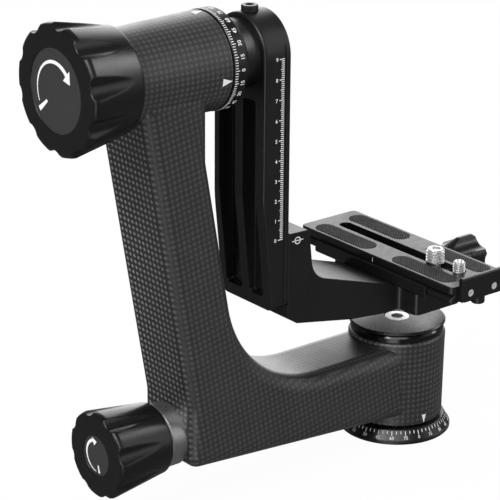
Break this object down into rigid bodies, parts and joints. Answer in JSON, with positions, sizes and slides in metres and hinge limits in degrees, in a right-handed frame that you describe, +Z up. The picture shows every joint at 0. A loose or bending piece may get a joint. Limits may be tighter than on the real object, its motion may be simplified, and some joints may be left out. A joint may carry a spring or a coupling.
{
  "type": "gimbal tripod head",
  "caption": "Gimbal tripod head: graduated pan base, moulded offset arm, swinging upright with height scale, cradle and quick-release camera plate.",
  "frame": {"origin": "centre of the 3/8 in socket in the plane of the base's underside, on the panning axis", "axes": "+Z up along the panning axis, +X from the lock knobs towards the clamp knob, the tilt axis along X, +Y from the plate's lip end to its other end"},
  "size_m": [0.2633, 0.1186, 0.2516],
  "materials": {
    "carbon": "moulded carbon fibre, satin lacquer",
    "black_anodised": "fine blasted, black anodised",
    "knob_black": "satin black anodised, bright on the edges",
    "bright_collar": "turned, satin",
    "bare_aluminium": "turned",
    "steel": "bright turned",
    "blackened_steel": "black oxide",
    "gloss_black": "glossy black",
    "inlay_grey": "matt charcoal with a white arrow",
    "brake_plastic": "natural acetal",
    "brass": "machined",
    "rubber": "finely ribbed"
  },
  "bodies": {
    "pan_base": {"pan_base": "black_anodised", "tripod_socket": "steel", "pan_spindle": "bare_aluminium", "base_screws": "steel", "pan_cap": "black_anodised", "pan_cap_bolt": "steel", "pan_inner_races": "steel"},
    "pan_arm": {"pan_arm": "carbon", "pan_cap_seal": "gloss_black", "pan_outer_races": "steel", "pan_balls": "steel", "pan_ball_cages": "brass", "lock_collar": "bright_collar", "rod_guide_bush": "brass", "tilt_outer_races": "steel", "tilt_balls": "steel", "tilt_ball_cages": "brass"},
    "pan_lock_knob": {"pan_lock_knob": "knob_black", "pan_lock_inlay": "inlay_grey", "pan_lock_rod": "steel"},
    "pan_brake": {"pan_brake_pad": "brake_plastic"},
    "tilt_lock_knob": {"tilt_lock_knob": "knob_black", "tilt_lock_inlay": "inlay_grey"},
    "tilt_brake": {"pressure_ring": "bare_aluminium"},
    "swing_arm": {"tilt_shaft": "bare_aluminium", "friction_disc": "brake_plastic", "tilt_inner_races": "steel", "tilt_lock_nut": "steel", "tilt_dial": "black_anodised", "tilt_hub": "black_anodised", "swing_arm": "black_anodised", "hub_bolt": "steel", "hub_screws": "steel", "arm_end_screw": "blackened_steel"},
    "cradle": {"cradle_bracket": "black_anodised", "clamp_bed": "black_anodised", "bed_screws": "blackened_steel", "clamp_guide_pins": "steel"},
    "cradle_gib": {"cradle_gib": "black_anodised"},
    "cradle_lock_knob": {"cradle_lock_knob": "knob_black", "cradle_lock_screw": "steel"},
    "clamp_jaw": {"clamp_jaw": "black_anodised"},
    "clamp_knob": {"clamp_knob": "knob_black", "clamp_screw": "steel"},
    "camera_plate": {"camera_plate": "black_anodised", "plate_pads": "rubber", "plate_lip": "black_anodised", "lip_screws": "steel", "stop_screws": "blackened_steel"},
    "large_carrier": {"large_screw_washer": "steel"},
    "large_screw": {"large_camera_screw": "steel"},
    "small_carrier": {"small_screw_washer": "steel"},
    "small_screw": {"small_camera_screw": "steel"}
  },
  "joints": [
    {"name": "pan", "type": "hinge", "parent": "pan_base", "child": "pan_arm", "pos_m": [0, 0, 0], "axis": [0, 0, 1], "continuous": true},
    {"name": "tilt", "type": "hinge", "parent": "pan_arm", "child": "swing_arm", "pos_m": [0, 0, 0.2208], "axis": [1, 0, 0], "continuous": true},
    {"name": "pan_lock_turn", "type": "hinge", "parent": "pan_arm", "child": "pan_lock_knob", "pos_m": [0, 0, 0.0366], "axis": [1, 0, 0], "range_deg": [0, 150]},
    {"name": "pan_brake_push", "type": "slide", "parent": "pan_arm", "child": "pan_brake", "axis": [1, 0, 0], "range_m": [0, 0.0005]},
    {"name": "tilt_lock_turn", "type": "hinge", "parent": "pan_arm", "child": "tilt_lock_knob", "pos_m": [0, 0, 0.2208], "axis": [1, 0, 0], "range_deg": [0, 150]},
    {"name": "tilt_brake_push", "type": "slide", "parent": "pan_arm", "child": "tilt_brake", "axis": [1, 0, 0], "range_m": [0, 0.0005]},
    {"name": "cradle_height", "type": "slide", "parent": "swing_arm", "child": "cradle", "axis": [0, 0, 1], "range_m": [0, 0.09]},
    {"name": "cradle_lock_turn", "type": "hinge", "parent": "cradle", "child": "cradle_lock_knob", "pos_m": [-0.0832, 0, 0.112], "axis": [0, 1, 0], "range_deg": [0, 120]},
    {"name": "cradle_gib_draw", "type": "slide", "parent": "cradle", "child": "cradle_gib", "axis": [0, 1, 0], "range_m": [0, 0.0004]},
    {"name": "clamp_jaw_slide", "type": "slide", "parent": "cradle", "child": "clamp_jaw", "axis": [1, 0, 0], "range_m": [0, 0.003]},
    {"name": "clamp_knob_turn", "type": "hinge", "parent": "clamp_jaw", "child": "clamp_knob", "pos_m": [0, 0, 0.0816], "axis": [1, 0, 0], "range_deg": [0, 1080]},
    {"name": "plate_slide", "type": "slide", "parent": "cradle", "child": "camera_plate", "axis": [0, 1, 0], "range_m": [-0.0056, 0.0084]},
    {"name": "large_screw_slide", "type": "slide", "parent": "camera_plate", "child": "large_carrier", "axis": [0, 1, 0], "range_m": [-0.002, 0.068]},
    {"name": "large_screw_turn", "type": "hinge", "parent": "large_carrier", "child": "large_screw", "pos_m": [0, -0.027, 0], "axis": [0, 0, 1], "continuous": true},
    {"name": "small_screw_slide", "type": "slide", "parent": "camera_plate", "child": "small_carrier", "axis": [0, 1, 0], "range_m": [-0.0002, 0.001]},
    {"name": "small_screw_turn", "type": "hinge", "parent": "small_carrier", "child": "small_screw", "pos_m": [0, -0.0445, 0], "axis": [0, 0, 1], "continuous": true}
  ],
  "couplings": [
    {"joint": "pan_brake_push", "follows": "pan_lock_turn", "m_per_rad": 0.00019098},
    {"joint": "tilt_brake_push", "follows": "tilt_lock_turn", "m_per_rad": 0.00019098},
    {"joint": "cradle_gib_draw", "follows": "cradle_lock_turn", "m_per_rad": 0.00019098},
    {"joint": "clamp_jaw_slide", "follows": "clamp_knob_turn", "m_per_rad": 0.00015915}
  ]
}
